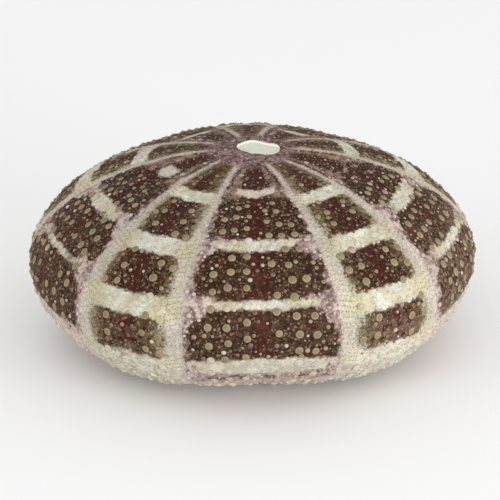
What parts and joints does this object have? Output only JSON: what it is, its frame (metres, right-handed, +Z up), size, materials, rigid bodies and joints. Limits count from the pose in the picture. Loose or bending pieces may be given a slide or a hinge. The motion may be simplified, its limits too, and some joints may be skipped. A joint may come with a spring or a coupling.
{
  "type": "sea urchin shell",
  "caption": "Hollow domed test of a sea urchin, with rows of tubercles, banded zones, an apical hole and a wide notched mouth hole underneath.",
  "frame": {"origin": "middle of the plane that the base rests on, under the axis from mouth to apex", "axes": "+Z up along the axis from mouth to apex, -Y towards the middle of the interambulacrum that faces the viewer"},
  "size_m": [0.1097, 0.1098, 0.048],
  "materials": {
    "calcite_test": "matt limy stone, dark olive and burgundy panels between cream bars and mauve-cream pore zones"
  },
  "bodies": {
    "root": {"urchin_test": "calcite_test"}
  },
  "joints": []
}
